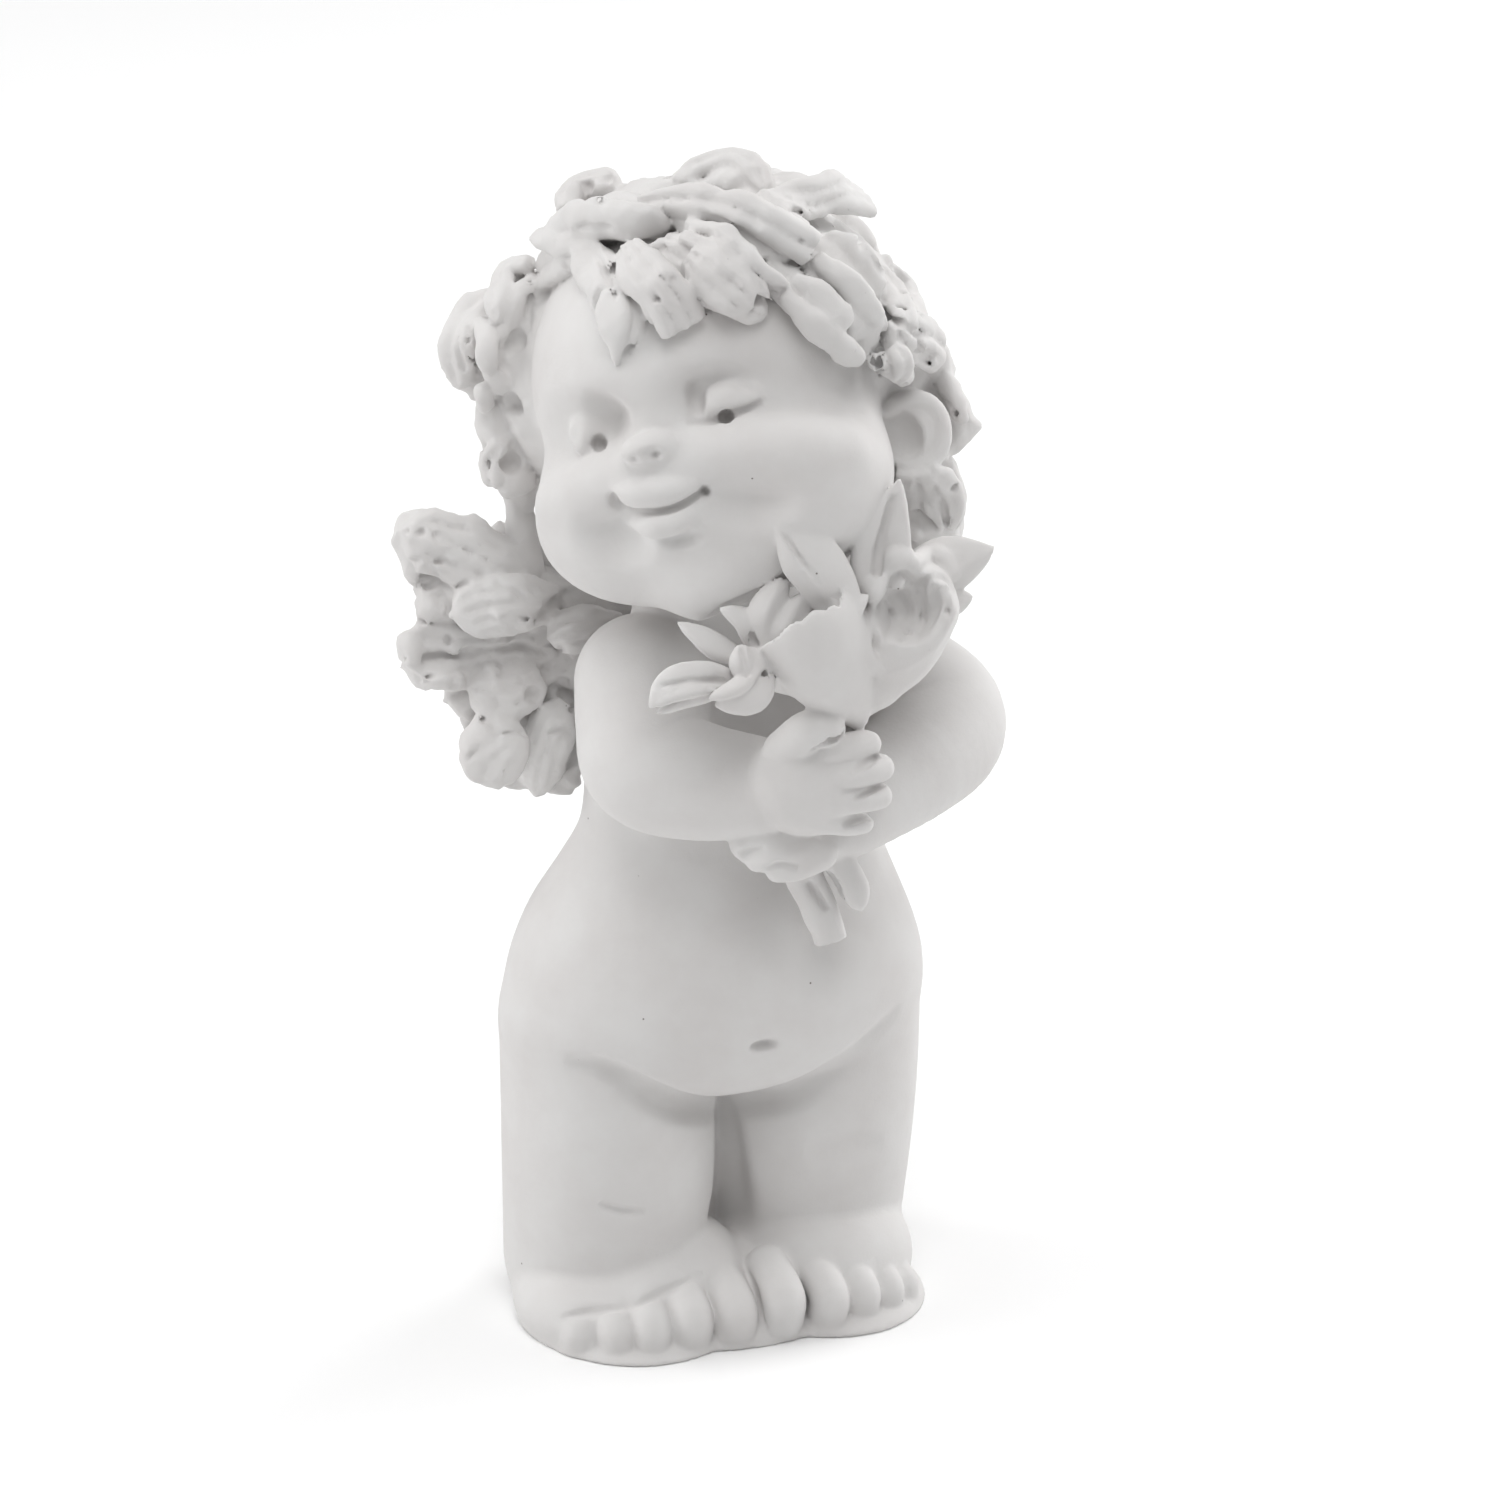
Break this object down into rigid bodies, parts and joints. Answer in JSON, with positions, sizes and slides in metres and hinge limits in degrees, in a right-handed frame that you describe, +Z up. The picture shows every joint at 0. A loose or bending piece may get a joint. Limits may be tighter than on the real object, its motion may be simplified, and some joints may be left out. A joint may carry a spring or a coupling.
{
  "type": "angel figurine",
  "caption": "Standing chubby cherub cast in one piece of plaster, with curly hair, feathered wings and a bunch of lilies held in crossed hands.",
  "frame": {"origin": "on the floor, under the middle of the figurine's outline", "axes": "+Z up along the standing figure, -Y towards the viewer that the belly faces, +X towards the figure's left hand"},
  "size_m": [0.0578, 0.0504, 0.1199],
  "materials": {
    "plaster": "unglazed white cast plaster, fine grain, fully matt"
  },
  "bodies": {
    "root": {"angel_figurine": "plaster"}
  },
  "joints": []
}
